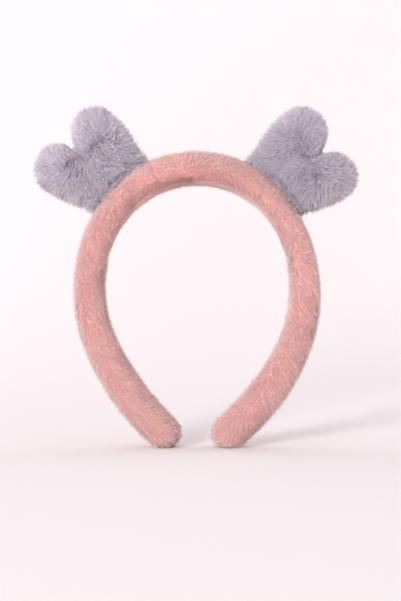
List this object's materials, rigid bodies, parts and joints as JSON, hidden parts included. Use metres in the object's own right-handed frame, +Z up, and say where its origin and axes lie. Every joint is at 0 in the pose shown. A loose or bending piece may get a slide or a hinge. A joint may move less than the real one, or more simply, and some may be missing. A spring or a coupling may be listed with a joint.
{
  "type": "plush headband with heart ears",
  "caption": "Padded plush hoop worn over the head, open at its tips, with stuffed heart-shaped ears sewn to its shoulders and a lining strip along its inner face.",
  "frame": {"origin": "on the floor midway between the tips, at the centre of the bounding box's base", "axes": "+Z up through the top of the hoop, +X towards the right-hand heart, +Y from front to back through the head opening"},
  "size_m": [0.2002, 0.028, 0.2107],
  "materials": {
    "pink_plush": "short dusty pink plush pile",
    "pink_lining": "short dusty pink plush pile, flattened",
    "grey_plush_left": "lavender grey plush pile, longer than the hoop's",
    "grey_plush_right": "lavender grey plush pile, longer than the hoop's"
  },
  "bodies": {
    "root": {"band_roll": "pink_plush", "band_lining": "pink_lining", "heart_left": "grey_plush_left", "heart_right": "grey_plush_right"}
  },
  "joints": []
}
